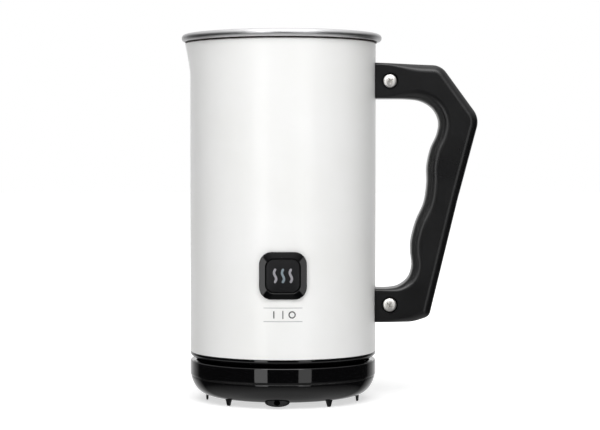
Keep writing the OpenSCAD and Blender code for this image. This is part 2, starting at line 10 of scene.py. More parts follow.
import bmesh
import bpy
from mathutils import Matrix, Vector


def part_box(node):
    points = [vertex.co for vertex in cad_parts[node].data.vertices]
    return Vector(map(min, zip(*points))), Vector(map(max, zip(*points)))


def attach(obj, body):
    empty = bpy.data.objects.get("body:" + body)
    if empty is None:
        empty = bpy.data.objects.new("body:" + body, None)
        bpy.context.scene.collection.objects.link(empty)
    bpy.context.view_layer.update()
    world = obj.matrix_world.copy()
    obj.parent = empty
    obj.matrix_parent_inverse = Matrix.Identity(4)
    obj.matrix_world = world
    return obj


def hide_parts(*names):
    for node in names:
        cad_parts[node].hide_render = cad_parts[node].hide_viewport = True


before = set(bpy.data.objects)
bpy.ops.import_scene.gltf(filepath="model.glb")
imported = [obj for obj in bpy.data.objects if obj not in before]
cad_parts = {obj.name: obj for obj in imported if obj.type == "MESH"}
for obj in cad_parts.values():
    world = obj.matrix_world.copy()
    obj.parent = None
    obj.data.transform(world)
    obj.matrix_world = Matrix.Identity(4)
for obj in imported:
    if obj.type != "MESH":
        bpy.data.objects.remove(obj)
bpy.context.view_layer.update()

# %% [markdown]
# ## Working in millimetres
# Blender works in metres here, but the sizes of a kitchen jug are easier to read in millimetres. So every outline
# below is in millimetres, and one function turns the finished points to metres.

# %% Units and corners of the frame
MM = 0.001


def span(node):
    """Lowest and highest corner of a CAD node, in millimetres."""
    low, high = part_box(node)
    return low / MM, high / MM


SHELL_LOW, SHELL_HIGH = span("outer_shell")
SHELL_R = SHELL_HIGH.y
SHELL_BOTTOM, SHELL_TOP = SHELL_LOW.z, SHELL_HIGH.z
FRONT = -SHELL_R
print(f"shell: radius {SHELL_R:.1f} mm, from {SHELL_BOTTOM:.1f} to {SHELL_TOP:.1f} mm high")

# %% [markdown]
# ## The camera
# A long lens from the front, a little below the rim and looking slightly down, keeps the jug's sides straight and
# shows the rim from outside only.

# %% Camera
CAMERA_PLACE = (0, -974.2, 130.4)
CAMERA_TILT = 1.751
camera_data = bpy.data.cameras.new("camera")
camera_data.lens = 107
camera_data.sensor_width = 36
camera_data.shift_x = 0.0284    # leaves room for the handle on the right
camera = bpy.data.objects.new("camera", camera_data)
camera.location = Vector(CAMERA_PLACE) * MM
camera.rotation_euler = (math.radians(90 - CAMERA_TILT), 0, 0)
bpy.context.scene.collection.objects.link(camera)
bpy.context.scene.camera = camera
print("camera at", [round(c, 3) for c in camera.location])

# %% [markdown]
# ## Outlines
# Nearly every piece of a turned or moulded product is an outline with rounded corners. `rounded` takes the sharp
# corners, each with its radius, and lays an arc in each: that is how a drawing office writes such a shape.


# %% Outline helpers
def arc(centre, radius, start, end, steps):
    """Points along an arc; the angles are in degrees."""
    angles = [math.radians(start + (end - start) * i / steps) for i in range(steps + 1)]
    return [(centre[0] + radius * math.cos(a), centre[1] + radius * math.sin(a)) for a in angles]


def rounded(corners, steps=6, closed=False):
    """A path through corners (x, y) or (x, y, radius), with an arc of that radius in each."""
    path, count = [], len(corners)
    for i, corner in enumerate(corners):
        here = Vector(corner[:2])
        radius = corner[2] if len(corner) > 2 else 0
        if radius == 0 or (not closed and i in (0, count - 1)):
            path.append(tuple(here))
            continue
        back = (Vector(corners[i - 1][:2]) - here).normalized()
        ahead = (Vector(corners[(i + 1) % count][:2]) - here).normalized()
        half = back.angle(ahead) / 2
        centre = here + (back + ahead).normalized() * radius / math.sin(half)
        start = here + back * radius / math.tan(half) - centre
        end = here + ahead * radius / math.tan(half) - centre
        first = math.degrees(math.atan2(start.y, start.x))
        turn = (math.degrees(math.atan2(end.y, end.x)) - first + 180) % 360 - 180
        path += arc(centre, radius, first, first + turn, steps)
    return path


def smooth_curve(points, steps):
    """A curve through the points that keeps its direction at each of them."""
    path = []
    for i in range(len(points) - 1):
        p = [Vector(points[min(max(i + k, 0), len(points) - 1)]) for k in (-1, 0, 1, 2)]
        for j in range(steps):
            t = j / steps
            path.append(0.5 * (2 * p[1] + (p[2] - p[0]) * t
                               + (2 * p[0] - 5 * p[1] + 4 * p[2] - p[3]) * t ** 2
                               + (3 * p[1] - p[0] - 3 * p[2] + p[3]) * t ** 3))
    return [tuple(q) for q in path] + [tuple(points[-1])]


def rounded_square(width, radius, steps=8):
    """A square outline with round corners, centred on the origin."""
    h = width / 2
    return rounded([(h, h, radius), (-h, h, radius), (-h, -h, radius), (h, -h, radius)], steps, True)


print("a rounded square has", len(rounded_square(24.8, 6.5)), "points")

# %% [markdown]
# ## From outlines to meshes
# Three ways to skin a shape cover this whole object: turning an outline round the jug's axis, as a lathe or a
# spinning chuck does, lofting between rings, as a mould with drafted walls does, and cutting with another shape.


# %% Mesh helpers
def revolve(outline, closed=False, steps=192, reach=None):
    """Turns an outline of (radius, height) about Z. reach(radius, height, angle) may move a point out."""
    points, faces, rings = [], [], []
    for radius, height in outline:
        if radius < 1e-6:
            rings.append([len(points)] * steps)
            points.append((0, 0, height))
            continue
        rings.append(list(range(len(points), len(points) + steps)))
        for i in range(steps):
            a = 2 * math.pi * i / steps
            r = reach(radius, height, a) if reach else radius
            points.append((r * math.cos(a), r * math.sin(a), height))
    pairs = list(zip(rings, rings[1:] + rings[:1])) if closed else list(zip(rings, rings[1:]))
    for low, high in pairs:
        for i in range(steps):
            j = (i + 1) % steps
            face = list(dict.fromkeys((low[i], low[j], high[j], high[i])))
            if len(face) > 2:
                faces.append(face)
    return points, faces


def loft(rings, capped=True):
    """A skin over rings with the same number of points, with flat ends."""
    n = len(rings[0])
    points = [p for ring in rings for p in ring]
    faces = [(k * n + i, k * n + (i + 1) % n, (k + 1) * n + (i + 1) % n, (k + 1) * n + i)
             for k in range(len(rings) - 1) for i in range(n)]
    if capped:
        last = (len(rings) - 1) * n
        faces += [tuple(reversed(range(n))), tuple(range(last, last + n))]
    return points, faces


def joined(*shapes):
    """Several (points, faces) as one."""
    points, faces = [], []
    for more_points, more_faces in shapes:
        start = len(points)
        points += more_points
        faces += [tuple(start + i for i in face) for face in more_faces]
    return points, faces


def tidy(mesh, sharp):
    """Faces turned outwards, smooth but for edges sharper than the angle."""
    work = bmesh.new()
    work.from_mesh(mesh)
    bmesh.ops.remove_doubles(work, verts=work.verts, dist=1e-7)
    bmesh.ops.recalc_face_normals(work, faces=work.faces)
    work.to_mesh(mesh)
    work.free()
    mesh.shade_smooth()
    mesh.set_sharp_from_angle(angle=math.radians(sharp))


def solid(name, shape, sharp=35):
    """A Blender object from points in millimetres."""
    mesh = bpy.data.meshes.new(name)
    mesh.from_pydata([[c * MM for c in p] for p in shape[0]], [], shape[1])
    tidy(mesh, sharp)
    made = bpy.data.objects.new(name, mesh)
    bpy.context.scene.collection.objects.link(made)
    return made


def cut(target, cutter_shape, sharp=35):
    """Takes the cutter's shape out of the target."""
    cutter = solid("cutter", cutter_shape)
    modifier = target.modifiers.new("cut", "BOOLEAN")
    modifier.object, modifier.operation, modifier.solver = cutter, "DIFFERENCE", "MANIFOLD"
    graph = bpy.context.evaluated_depsgraph_get()
    result = bpy.data.meshes.new_from_object(target.evaluated_get(graph))
    target.modifiers.clear()
    target.data = result
    tidy(result, sharp)
    bpy.data.objects.remove(cutter)


def flatten_faces(target):
    """Lets large flat faces keep their own direction beside rounded edges."""
    weighted = target.modifiers.new("flat faces", "WEIGHTED_NORMAL")
    weighted.keep_sharp = True
    weighted.weight = 100


def place(piece, body, slot, finish, *nodes):
    """Puts a finished piece on its body with its finish, in place of its CAD nodes. The slot is not used."""
    piece.data.materials.clear()
    piece.data.materials.append(finish)
    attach(piece, body)
    if nodes:
        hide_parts(*nodes)
    print(f"{piece.name}: {len(piece.data.vertices)} points on {body}")


# %% [markdown]
# ## Colours and shader nodes
# Paint charts and screens give sRGB colours, and the shader wants linear ones, so one function turns them. One more
# adds a node with its settings and its links: the finishes below are then short lists of what lies in them.


# %% Material helpers
def linear(hex_colour):
    """An sRGB hex colour in linear values."""
    parts = [int(hex_colour[i:i + 2], 16) / 255 for i in (1, 3, 5)]
    return (*[c / 12.92 if c <= 0.04045 else ((c + 0.055) / 1.055) ** 2.4 for c in parts], 1.0)


def new_finish(name, sockets):
    """A material with its Principled sockets set, its node tree and its shader."""
    finish = bpy.data.materials.new(name)
    finish.use_nodes = True
    shader = finish.node_tree.nodes["Principled BSDF"]
    for socket, value in sockets.items():
        shader.inputs[socket].default_value = value
    return finish, finish.node_tree, shader


def add(tree, kind, links=(), **settings):
    """Adds a node. links pairs an input with a value or with another node's output."""
    node = tree.nodes.new(kind)
    for key, value in settings.items():
        setattr(node, key, value)
    for key, value in dict(links).items():
        if isinstance(value, bpy.types.NodeSocket):
            tree.links.new(value, node.inputs[key])
        else:
            node.inputs[key].default_value = value
    return node


def per_metre(size_mm):
    """The texture scale at which one feature is this many millimetres across."""
    return 1 / (size_mm * MM)


print("mid grey in linear values:", round(linear("#808080")[0], 3))

# %% [markdown]
# ## White stove enamel
# The shell is pressed steel under white stoving enamel: sprayed, then baked. Baked paint is smooth but never flat.
# It keeps a faint orange peel about a millimetre and a half across, which softens the studio's reflections.


# %% Stoved white enamel
def stoved_enamel():
    finish, tree, shader = new_finish("stoved_white_enamel", {
        "IOR": 1.5, "Coat Weight": 0.25, "Coat Roughness": 0.12})
    where = add(tree, "ShaderNodeTexCoord")
    peel = add(tree, "ShaderNodeTexNoise", {
        "Vector": where.outputs["Object"], "Scale": per_metre(1.6), "Detail": 2.0, "Roughness": 0.4})
    cloud = add(tree, "ShaderNodeTexNoise", {
        "Vector": where.outputs["Object"], "Scale": per_metre(45), "Detail": 3.0})
    tint = add(tree, "ShaderNodeValToRGB", {"Fac": cloud.outputs["Fac"]})
    tint.color_ramp.elements[0].position, tint.color_ramp.elements[1].position = 0.35, 0.65
    tint.color_ramp.elements[0].color = linear("#f4f4f2")
    tint.color_ramp.elements[1].color = linear("#f7f7f6")
    gloss = add(tree, "ShaderNodeMapRange", {"Value": cloud.outputs["Fac"], "To Min": 0.3, "To Max": 0.38})
    bump = add(tree, "ShaderNodeBump", {"Height": peel.outputs["Fac"], "Strength": 0.25, "Distance": 0.012 * MM})
    tree.links.new(tint.outputs["Color"], shader.inputs["Base Color"])
    tree.links.new(gloss.outputs["Result"], shader.inputs["Roughness"])
    tree.links.new(bump.outputs["Normal"], shader.inputs["Normal"])
    return finish


ENAMEL = stoved_enamel()
print("finish:", ENAMEL.name)

# %% [markdown]
# ## Turned stainless steel
# The rim is stainless steel, spun and polished against a belt while it turns. The belt leaves hair lines that run
# round the rim, a few hundredths of a millimetre wide. They are drawn about 0.3 mm wide so that they can show. They
# are laid out in polar coordinates: slow along the turn, quick across it.


# %% Turned stainless steel
def turned_steel(name, colour, low, high, line_mm, depth):
    finish, tree, shader = new_finish(name, {"Metallic": 1.0, "Base Color": linear(colour)})
    where = add(tree, "ShaderNodeTexCoord")
    apart = add(tree, "ShaderNodeSeparateXYZ", {"Vector": where.outputs["Object"]})
    turn = add(tree, "ShaderNodeMath", {0: apart.outputs["Y"], 1: apart.outputs["X"]}, operation="ARCTAN2")
    flat = add(tree, "ShaderNodeCombineXYZ", {"X": apart.outputs["X"], "Y": apart.outputs["Y"]})
    radius = add(tree, "ShaderNodeVectorMath", {0: flat.outputs["Vector"]}, operation="LENGTH")
    around = add(tree, "ShaderNodeMath", {0: turn.outputs["Value"], 1: 0.004}, operation="MULTIPLY")
    polar = add(tree, "ShaderNodeCombineXYZ", {
        "X": around.outputs["Value"], "Y": radius.outputs["Value"], "Z": apart.outputs["Z"]})
    hair = add(tree, "ShaderNodeTexNoise", {
        "Vector": polar.outputs["Vector"], "Scale": per_metre(line_mm), "Detail": 5.0, "Roughness": 0.6})
    gloss = add(tree, "ShaderNodeMapRange", {"Value": hair.outputs["Fac"], "From Min": 0.3, "From Max": 0.7,
                                             "To Min": low, "To Max": high})
    bump = add(tree, "ShaderNodeBump", {"Height": hair.outputs["Fac"], "Strength": 0.5, "Distance": depth * MM})
    tree.links.new(gloss.outputs["Result"], shader.inputs["Roughness"])
    tree.links.new(bump.outputs["Normal"], shader.inputs["Normal"])
    return finish


RIM_STEEL = turned_steel("polished_stainless_steel", "#d8d8d9", 0.3, 0.46, 0.3, 0.008)
SCREW_STEEL = turned_steel("turned_stainless_screw", "#f0eeea", 0.34, 0.46, 0.2, 0.003)
print("finishes:", RIM_STEEL.name, SCREW_STEEL.name)

# %% [markdown]
# ## Black mouldings
# Three blacks of ABS and nylon sit side by side on this jug, and only their tool finish differs. The base and the
# button's frame come from a polished tool and mirror the studio. The handle comes from a spark-eroded tool with a
# fine grain, so it is satin. The button's cap is finer and duller still.


# %% Black mouldings
def moulded(name, colour, low, high, grain_mm, depth, sockets=()):
    finish, tree, shader = new_finish(name, {"Base Color": linear(colour), "IOR": 1.5, **dict(sockets)})
    where = add(tree, "ShaderNodeTexCoord")
    grain = add(tree, "ShaderNodeTexNoise", {
        "Vector": where.outputs["Object"], "Scale": per_metre(grain_mm), "Detail": 4.0, "Roughness": 0.55})
    flow = add(tree, "ShaderNodeTexNoise", {
        "Vector": where.outputs["Object"], "Scale": per_metre(28), "Detail": 2.0})
    gloss = add(tree, "ShaderNodeMapRange", {"Value": flow.outputs["Fac"], "From Min": 0.3, "From Max": 0.7,
                                             "To Min": low, "To Max": high})
    bump = add(tree, "ShaderNodeBump", {"Height": grain.outputs["Fac"], "Strength": 0.4, "Distance": depth * MM})
    tree.links.new(gloss.outputs["Result"], shader.inputs["Roughness"])
    tree.links.new(bump.outputs["Normal"], shader.inputs["Normal"])
    return finish


GLOSS_ABS = moulded("polished_black_abs", "#060607", 0.03, 0.06, 2.0, 0.0015)
SATIN_NYLON = moulded("spark_eroded_black_nylon", "#0e0e0f", 0.27, 0.34, 0.35, 0.008)
CAP_ABS = moulded("fine_matt_black_abs", "#101012", 0.34, 0.42, 0.25, 0.005)
PLAIN_ABS = moulded("plain_black_abs", "#121214", 0.4, 0.5, 0.5, 0.01)
RUBBER = moulded("black_tpe_rubber", "#141415", 0.55, 0.68, 0.4, 0.015)
GASKET = moulded("dark_silicone_gasket", "#2a1f1c", 0.5, 0.6, 0.5, 0.01)
PRINT = moulded("grey_screen_print", "#8c8d90", 0.45, 0.55, 0.3, 0.004)
DARK_PRINT = moulded("dark_grey_screen_print", "#2a2a2c", 0.45, 0.55, 0.3, 0.004)
MARK = moulded("translucent_grey_polycarbonate", "#96949a", 0.3, 0.38, 0.4, 0.004)
COOL_MARK = moulded("translucent_blue_grey_polycarbonate", "#7d8a92", 0.3, 0.38, 0.4, 0.004)
NYLON = moulded("natural_nylon", "#d8d2c2", 0.4, 0.5, 0.6, 0.01)
LAMP = moulded("clear_epoxy_lamp", "#e8e8df", 0.12, 0.2, 0.6, 0.004)
MILKY = moulded("milky_silicone", "#cdd0d2", 0.35, 0.45, 0.5, 0.006, {"Transmission Weight": 0.35})
CLEAR = moulded("clear_copolyester", "#f2f6f7", 0.02, 0.05, 3.0, 0.001, {"Transmission Weight": 1.0})
print("black and plain mouldings made")

# %% [markdown]
# ## Metals inside, the coating and the boards
# Pressed steel and zinc plate show a fine mottle. Cast aluminium is grainy. The pot wears a grey non-stick coating,
# sprayed in drops, which leaves light specks about half a millimetre across. Circuit boards are green lacquer over
# glass weave.


# %% Metals, coating and boards
def mottled_metal(name, colour, low, high, grain_mm, depth):
    finish, tree, shader = new_finish(name, {"Metallic": 1.0, "Base Color": linear(colour)})
    where = add(tree, "ShaderNodeTexCoord")
    spots = add(tree, "ShaderNodeTexNoise", {
        "Vector": where.outputs["Object"], "Scale": per_metre(grain_mm), "Detail": 6.0})
    gloss = add(tree, "ShaderNodeMapRange", {"Value": spots.outputs["Fac"], "From Min": 0.3, "From Max": 0.7,
                                             "To Min": low, "To Max": high})
    bump = add(tree, "ShaderNodeBump", {"Height": spots.outputs["Fac"], "Strength": 0.4, "Distance": depth * MM})
    tree.links.new(gloss.outputs["Result"], shader.inputs["Roughness"])
    tree.links.new(bump.outputs["Normal"], shader.inputs["Normal"])
    return finish


def speckled(name, ground, speck, low, high, speck_mm, share):
    finish, tree, shader = new_finish(name, {"IOR": 1.5, "Roughness": (low + high) / 2})
    where = add(tree, "ShaderNodeTexCoord")
    drops = add(tree, "ShaderNodeTexVoronoi", {"Vector": where.outputs["Object"], "Scale": per_metre(speck_mm)})
    spread = add(tree, "ShaderNodeValToRGB", {"Fac": drops.outputs["Distance"]})
    spread.color_ramp.elements[0].position, spread.color_ramp.elements[1].position = share, share + 0.08
    spread.color_ramp.elements[0].color, spread.color_ramp.elements[1].color = linear(speck), linear(ground)
    gloss = add(tree, "ShaderNodeMapRange", {"Value": drops.outputs["Distance"], "To Min": low, "To Max": high})
    bump = add(tree, "ShaderNodeBump", {"Height": drops.outputs["Distance"], "Strength": 0.3,
                                        "Distance": 0.02 * MM})
    tree.links.new(spread.outputs["Color"], shader.inputs["Base Color"])
    tree.links.new(gloss.outputs["Result"], shader.inputs["Roughness"])
    tree.links.new(bump.outputs["Normal"], shader.inputs["Normal"])
    return finish


SHEET_STEEL = mottled_metal("pressed_steel", "#a6a7a9", 0.3, 0.42, 2.5, 0.008)
ZINC = mottled_metal("zinc_plated_steel", "#b9babd", 0.22, 0.34, 0.8, 0.006)
CAST = mottled_metal("cast_aluminium", "#b2b4b6", 0.4, 0.55, 0.6, 0.03)
BRASS = mottled_metal("bright_brass", "#caa44c", 0.14, 0.24, 1.2, 0.003)
NICKEL = mottled_metal("nickel_plate", "#8f9194", 0.12, 0.2, 1.5, 0.003)
NON_STICK = speckled("speckled_non_stick", "#3d3e41", "#77787c", 0.35, 0.5, 1.6, 0.14)
BOARD = speckled("green_solder_lacquer", "#0f4a28", "#1a6b3a", 0.2, 0.3, 1.2, 0.2)
print("metals, coating and boards made")

# %% [markdown]
# ## The shell and its pouring lip
# The shell is a rolled tube whose top is pressed outwards under the lip. The bulge is widest at the rim and dies out
# a few centimetres down, so the outline is turned like a lathe part and each point near the lip moves out by its
# share. Both edges are turned under in a small radius, as sheet metal is. A window is pressed out at the front, so
# that the button has room to move in.

# %% Shell
LIP_DROP = 17
LIP_HALF_ANGLE = 46
LIP_SHELL = SHELL_R * -1 - SHELL_LOW.x
RIM_LOW, RIM_HIGH = span("rim_ring")
LIP_RIM = -RIM_LOW.x - RIM_HIGH.x
SHEET = 0.8


def lip(angle):
    """The lip's outward bulge at an angle about the axis, from 0 to 1."""
    off = abs(math.degrees(angle) % 360 - 180) / LIP_HALF_ANGLE
    return (0.5 + 0.5 * math.cos(math.pi * off)) ** 1.3 if off < 1 else 0.0


def shell_reach(radius, height, angle):
    rise = max(0.0, (height - SHELL_TOP + LIP_DROP) / LIP_DROP)
    return radius + LIP_SHELL * rise ** 1.25 * lip(angle)


inner_r = SHELL_R - SHEET
outside = [(SHELL_R, SHELL_BOTTOM + 0.4)]
outside += [(SHELL_R, SHELL_TOP - LIP_DROP + LIP_DROP * i / 16) for i in range(16)]
edge_top = arc((SHELL_R - 0.4, SHELL_TOP - 0.4), 0.4, 0, 90, 4)
edge_bottom = arc((SHELL_R - 0.4, SHELL_BOTTOM + 0.4), 0.4, 270, 360, 4)
inside = [(inner_r, SHELL_TOP - LIP_DROP * i / 16) for i in range(17)] + [(inner_r, SHELL_BOTTOM)]
shell = solid("enamelled_shell", revolve(edge_bottom + outside + edge_top + inside, True, 256, shell_reach))
BEZEL_LOW, BEZEL_HIGH = span("button_bezel")
BUTTON_Z = (BEZEL_LOW.z + BEZEL_HIGH.z) / 2
WINDOW = 22
window = rounded_square(WINDOW, 5)
cut(shell, loft([[(x, y, BUTTON_Z + z) for x, z in window] for y in (FRONT - 1, FRONT + 8)]))
place(shell, "jug", "white_enamel", ENAMEL, "outer_shell")

# %% [markdown]
# ## The rolled rim and its gasket
# The rim is one sheet: it flares out of the pot and rolls down into a bead. A thin dark gasket closes the gap to the
# shell. The bead is almost a full circle, left open underneath where the roll ends.


# %% Rim and gasket
def rim_reach(radius, height, angle):
    share = min(1.0, max(0.0, (radius - POT_R) / (SHELL_R - 0.3 - POT_R)))
    return radius + LIP_RIM * share * lip(angle)


POT_R = 45.2
BEAD_R = 2
RIM_TOP = RIM_HIGH.z
bead = (RIM_HIGH.y - BEAD_R, RIM_TOP - BEAD_R)
flare_end = (bead[0] - 1.2, RIM_TOP - 0.5)
flare_start = RIM_LOW.z


def flare(turn, inset=0.0):
    """A point on the quarter turn from the upright wall to the bead."""
    a = math.radians(turn)
    return (POT_R + inset + (flare_end[0] - POT_R) * (1 - math.cos(a)),
            flare_start + (flare_end[1] - flare_start - inset) * math.sin(a))


rim_inside = [flare(78 * i / 16) for i in range(17)]
rim_bead = arc(bead, BEAD_R, 105, -165, 36)
rim_curl = arc(bead, BEAD_R - 0.7, -165, -60, 12)
rim_under = [flare(78 * i / 16, SHEET) for i in range(16, -1, -1)]
rim = solid("rolled_rim", revolve(rim_inside + rim_bead + rim_under, True, 256, rim_reach))
place(rim, "jug", "polished_steel", RIM_STEEL, "rim_ring")

GASKET_LOW, GASKET_HIGH = span("rim_gasket")
lip_extra = -GASKET_LOW.x - GASKET_HIGH.y
ring = rounded([(GASKET_HIGH.y - 2.4, GASKET_LOW.z), (GASKET_HIGH.y, GASKET_LOW.z, 0.25),
                (GASKET_HIGH.y, GASKET_HIGH.z, 0.25), (GASKET_HIGH.y - 2.4, GASKET_HIGH.z)], 4)
gasket = solid("gasket_ring", revolve(ring, True, 256, lambda r, h, a: r + lip_extra * lip(a)))
place(gasket, "jug", "dark_gasket", GASKET, "rim_gasket")

# %% [markdown]
# ## The pot
# The pot is drawn from one disc, with a generous corner so that milk washes out, and two shallow rings pressed in its
# wall mark how far to fill it. The whisk's pin is welded to its floor.

# %% Pot and pin
POT_LOW, POT_HIGH = span("inner_pot")
POT_FLOOR = POT_LOW.z + SHEET
CORNER = 9
wall_x = POT_R
rings = []
for level in (POT_FLOOR + 26, POT_FLOOR + 47):
    rings += [(wall_x, level - 0.9), (wall_x - 0.35, level - 0.3), (wall_x - 0.35, level + 0.3),
              (wall_x, level + 0.9)]
pot_outline = (
    [(0, POT_FLOOR), (wall_x - CORNER + SHEET, POT_FLOOR)]
    + arc((wall_x - CORNER + SHEET, POT_FLOOR + CORNER - SHEET), CORNER - SHEET, -90, 0, 12)[1:]
    + rings + [(wall_x, POT_HIGH.z), (wall_x + SHEET, POT_HIGH.z)]
    + arc((wall_x + SHEET - CORNER, POT_LOW.z + CORNER), CORNER, 0, -90, 12) + [(0, POT_LOW.z)])
pot = solid("coated_pot", revolve(pot_outline))
place(pot, "jug", "nonstick_coating", NON_STICK, "inner_pot")

PIN_LOW, PIN_HIGH = span("pot_pivot")
pin_outline = rounded([(0, PIN_LOW.z), (5, PIN_LOW.z), (5, PIN_LOW.z + 1, 0.4), (1.5, PIN_LOW.z + 1, 0.3),
                       (1.5, PIN_HIGH.z, 0.6), (0, PIN_HIGH.z)])
pin = solid("whisk_pin", revolve(pin_outline, steps=48))
place(pin, "jug", "polished_steel", RIM_STEEL, "pot_pivot")

# %% [markdown]
# ## The handle
# The handle is one thick nylon moulding: straight outside, two finger waves inside, every edge rounded where the hand
# goes. Its side view is an outline of few corners. Rings of that outline, each a little further in, build the
# rounded edges, and the flat side closes them. Screws cross its arms in counterbores, with nuts behind.

# %% Handle outline
HANDLE_LOW, HANDLE_HIGH = span("handle")
ARM_END = SHELL_R + 0.15
HALF_THICK = HANDLE_HIGH.y
EDGE = 4.4
FINGER_EDGE = 5.8
outer_corners = [
    (ARM_END, 183.3), (85.8, 181.9, 9.5), (106.6, 153.4, 11), (94.9, 109.2, 150),
    (79.6, 45.6, 4.6), (71, 42.7, 22), (ARM_END, 42.6)]
finger_side = [
    (ARM_END, 60.9), (57.5, 60.9), (63.4, 62.3), (68.4, 66.6), (70.4, 73), (69.8, 80.5), (70, 87.5),
    (72.6, 97.5), (76.9, 107.5), (78.5, 118), (78.5, 127.5), (80.5, 136.8), (84, 144.8), (84.8, 152),
    (81.6, 158.5), (75.4, 162.5), (67, 163.8), (ARM_END, 164)]


def subdivided(path, step):
    """The path with extra points so that none is further than step from the next."""
    result = []
    for a, b in zip(path, path[1:]):
        count = max(1, math.ceil(math.dist(a, b) / step))
        result += [tuple(Vector(a).lerp(Vector(b), i / count)) for i in range(count)]
    return result + [path[-1]]


outline = subdivided(rounded(outer_corners, 14), 4)
FINGER_START = len(outline)
outline += smooth_curve(finger_side, 8)
print("handle outline:", len(outline), "points, reaching x =", round(max(p[0] for p in outline), 1))


# %% Handle
def edge_radius(i):
    """Small radii at the arms' ends, full ones on the grip, and fuller still where the fingers go."""
    t = min(1.0, max(0.0, (outline[i][0] - 54) / 22))
    full = FINGER_EDGE if i >= FINGER_START else EDGE
    return 1.3 + (full - 1.3) * t * t * (3 - 2 * t)


def inwards(i):
    """The direction from a point of the outline into the material, along the end faces at the arms' ends."""
    here, before, after = (Vector(outline[k % len(outline)]) for k in (i, i - 1, i + 1))
    if max(here.x, before.x) < ARM_END + 0.01:
        before = here
    if max(here.x, after.x) < ARM_END + 0.01:
        after = here
    d = (after - before).normalized()
    return Vector((d.y, -d.x))


def against_shell(x, y):
    """Near the arms' ends, x follows the shell's curve."""
    share = max(0.0, 1 - (x - ARM_END) / 6)
    return x - share * (ARM_END - math.sqrt(ARM_END ** 2 - y ** 2))


def handle_ring(side, turn, inner=1.0, rim=0.0):
    """The outline on one side of the handle, as far in as the rounded edge is at this turn, and rim further."""
    a, ring = math.radians(turn), []
    for i, p in enumerate(outline):
        r = edge_radius(i)
        q = Vector(p) + inwards(i) * (r * (1 - math.cos(a)) + rim)
        y = side * (HALF_THICK - r + r * math.sin(a)) * inner
        ring.append((against_shell(q.x, y), y, q.y))
    return ring


turns = [90 * k / 9 for k in range(10)]
handle_rings = [handle_ring(-1, 90, rim=0.15)] + [handle_ring(-1, t) for t in reversed(turns)]
handle_rings += [handle_ring(-1, 0, k / 5) for k in (4, 3, 2, 1, 0)] + [handle_ring(1, 0, k / 5) for k in (1, 2, 3, 4)]
handle_rings += [handle_ring(1, t) for t in turns] + [handle_ring(1, 90, rim=0.15)]
handle = solid("grip", loft(handle_rings), 30)


def rod(x, z, radius, start, end, sides=64, spin=0.0):
    """A rod along Y."""
    ring = [(x + radius * math.cos(a), z + radius * math.sin(a))
            for a in (2 * math.pi * i / sides + math.radians(spin) for i in range(sides))]
    return loft([[(px, start, pz) for px, pz in ring], [(px, end, pz) for px, pz in ring]])


SCREW_LOW, SCREW_HIGH = span("handle_screws")
HEAD_R = (SCREW_HIGH.x - SCREW_LOW.x) / 2
SCREW_X = SCREW_LOW.x + HEAD_R
SCREWS = (SCREW_HIGH.z - HEAD_R, SCREW_LOW.z + HEAD_R)
for z in SCREWS:
    cut(handle, rod(SCREW_X, z, HEAD_R + 0.8, -HALF_THICK - 2, -HALF_THICK + 2.7), 30)
    cut(handle, rod(SCREW_X, z, 4.2, HALF_THICK - 3.9, HALF_THICK + 2, 6), 30)
flatten_faces(handle)
place(handle, "jug", "handle_black", SATIN_NYLON, "handle")

# %% [markdown]
# ## The handle's screws
# Each is an M4 pan-head machine screw with a cross recess. The head is turned and domed. The recess is punched with
# a tapered cross, which leaves four flats that catch the light, so it is cut with a cross that narrows downwards.


# %% Handle screws
def cross_cutter(x, y, z, spin, size):
    """A cross that narrows as it goes in, along +Y."""
    shapes = []
    for turn in (spin, spin + 90):
        a = math.radians(turn)
        along, across = Vector((math.cos(a), 0, math.sin(a))), Vector((-math.sin(a), 0, math.cos(a)))
        rings = []
        for depth, long, wide in ((-0.5, 1.0, 0.19), (1.9, 0.45, 0.12)):
            middle = Vector((x, y + depth, z))
            corners = ((1, 1), (-1, 1), (-1, -1), (1, -1))
            rings.append([tuple(middle + along * (i * long * size) + across * (j * wide * size)) for i, j in corners])
        shapes.append(loft(rings))
    return shapes


HEAD_FRONT = SCREW_LOW.y
head_outline = [(0, 0), (HEAD_R * 0.3, 0.04), (HEAD_R * 0.6, 0.17), (HEAD_R * 0.82, 0.38), (HEAD_R * 0.95, 0.66),
                (HEAD_R, 1.1, 0.2), (HEAD_R, 2.3, 0.1), (2, 2.3), (2, 15.5), (0, 15.5)]
for label, z, spin in (("upper", SCREWS[0], 24), ("lower", SCREWS[1], 62)):
    turned = revolve(rounded(head_outline, 5), steps=96)
    points = [(SCREW_X + px, HEAD_FRONT + pz, z + py) for px, py, pz in turned[0]]
    screw = solid(f"handle_screw_{label}", (points, turned[1]), 30)
    for half in cross_cutter(SCREW_X, HEAD_FRONT, z, spin, 1.9):
        cut(screw, half, 30)
    place(screw, "jug", "polished_screws", SCREW_STEEL, *(["handle_screws"] if label == "upper" else []))

# %% [markdown]
# ## The push button
# The button's frame is a glossy ring. Its face slopes back a few degrees to the outside, so its two upright sides
# mirror the lights beside the camera. The cap sits just below the crown with a hairline gap. Three wavy marks of translucent plastic are let into
# it: the usual sign for heat.

# %% Button frame
BEZEL_W = BEZEL_HIGH.x - BEZEL_LOW.x
CAP_LOW, CAP_HIGH = span("button_cap")
CAP_W = CAP_HIGH.x - CAP_LOW.x
OPENING = CAP_W + 0.4


def square_ring(width, radius, y):
    return [(px, y, BUTTON_Z + pz) for px, pz in rounded_square(width, radius, 10)]


def square_stack(steps):
    """A loft of rounded squares (width, corner radius, y)."""
    return loft([square_ring(*step) for step in steps], False)


